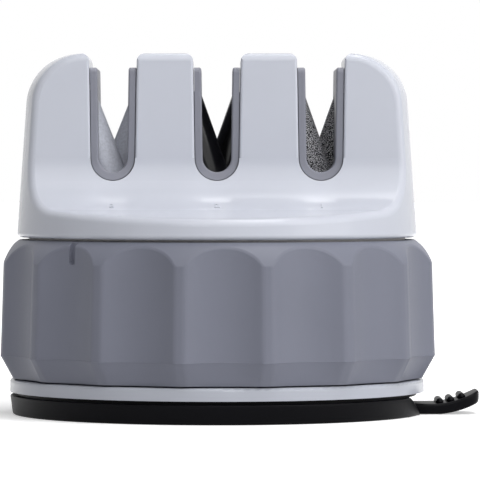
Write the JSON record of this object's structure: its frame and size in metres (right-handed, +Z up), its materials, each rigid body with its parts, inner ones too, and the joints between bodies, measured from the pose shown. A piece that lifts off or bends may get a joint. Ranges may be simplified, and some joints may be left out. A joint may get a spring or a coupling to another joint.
{
  "type": "pull through knife sharpener",
  "caption": "Pull through knife sharpener: a white slab head with slots over crossed sharpening rods, on a fluted grey dial that locks a black suction base with a release tab.",
  "frame": {"origin": "the middle of the suction pad's flat underside, on the dial's axis, where the sharpener stands on the table", "axes": "+Z up along the dial's axis; the front of the head, where a knife is drawn towards the user, faces -Y; +X to the right, towards the pad's release tab"},
  "size_m": [0.095, 0.0862, 0.0712],
  "materials": {
    "pad_rubber": "moulded, slightly soft sheen",
    "zinc_steel": "zinc plated",
    "base_white": "glossy moulded",
    "screw_steel": "zinc plated",
    "plunger_nylon": "moulded nylon",
    "pin_steel": "ground",
    "spring_steel": "drawn wire",
    "washer_plastic": "natural acetal",
    "sleeve_plastic": "moulded acetal",
    "dial_grey": "satin silver grey",
    "floor_plastic": "moulded",
    "head_white": "high gloss moulded",
    "core_grey": "satin moulded",
    "fine_ceramic": "fired, unglazed",
    "medium_ceramic": "polished black",
    "diamond_coat": "diamond grit in nickel plate"
  },
  "bodies": {
    "base": {"suction_pad": "pad_rubber", "base_plate": "base_white", "column_screws": "screw_steel", "lower_washer": "washer_plastic", "upper_washer": "washer_plastic", "head_floor": "floor_plastic", "core_screws": "screw_steel", "shell_screws": "screw_steel", "head_shell": "head_white", "core_front": "core_grey", "core_rear": "core_grey", "fine_rod_front": "fine_ceramic", "fine_rod_rear": "fine_ceramic", "medium_rod_front": "medium_ceramic", "medium_rod_rear": "medium_ceramic", "coarse_rod_front": "diamond_coat", "coarse_rod_rear": "diamond_coat", "return_spring": "spring_steel"},
    "dial": {"dial_ring": "dial_grey", "cam_sleeve": "sleeve_plastic", "cam_screws": "screw_steel"},
    "lifter": {"lift_plunger": "plunger_nylon", "cross_pin": "pin_steel", "pad_stud": "zinc_steel"}
  },
  "joints": [
    {"name": "dial_turn", "type": "hinge", "parent": "base", "child": "dial", "pos_m": [0, 0, 0.0209], "axis": [0, 0, 1], "range_deg": [0, 90]},
    {"name": "pad_lift", "type": "slide", "parent": "base", "child": "lifter", "axis": [0, 0, 1], "range_m": [0, 0.003], "deforming": ["return_spring", "suction_pad"]}
  ],
  "couplings": [
    {"joint": "pad_lift", "follows": "dial_turn", "m_per_rad": 0.0019099}
  ]
}
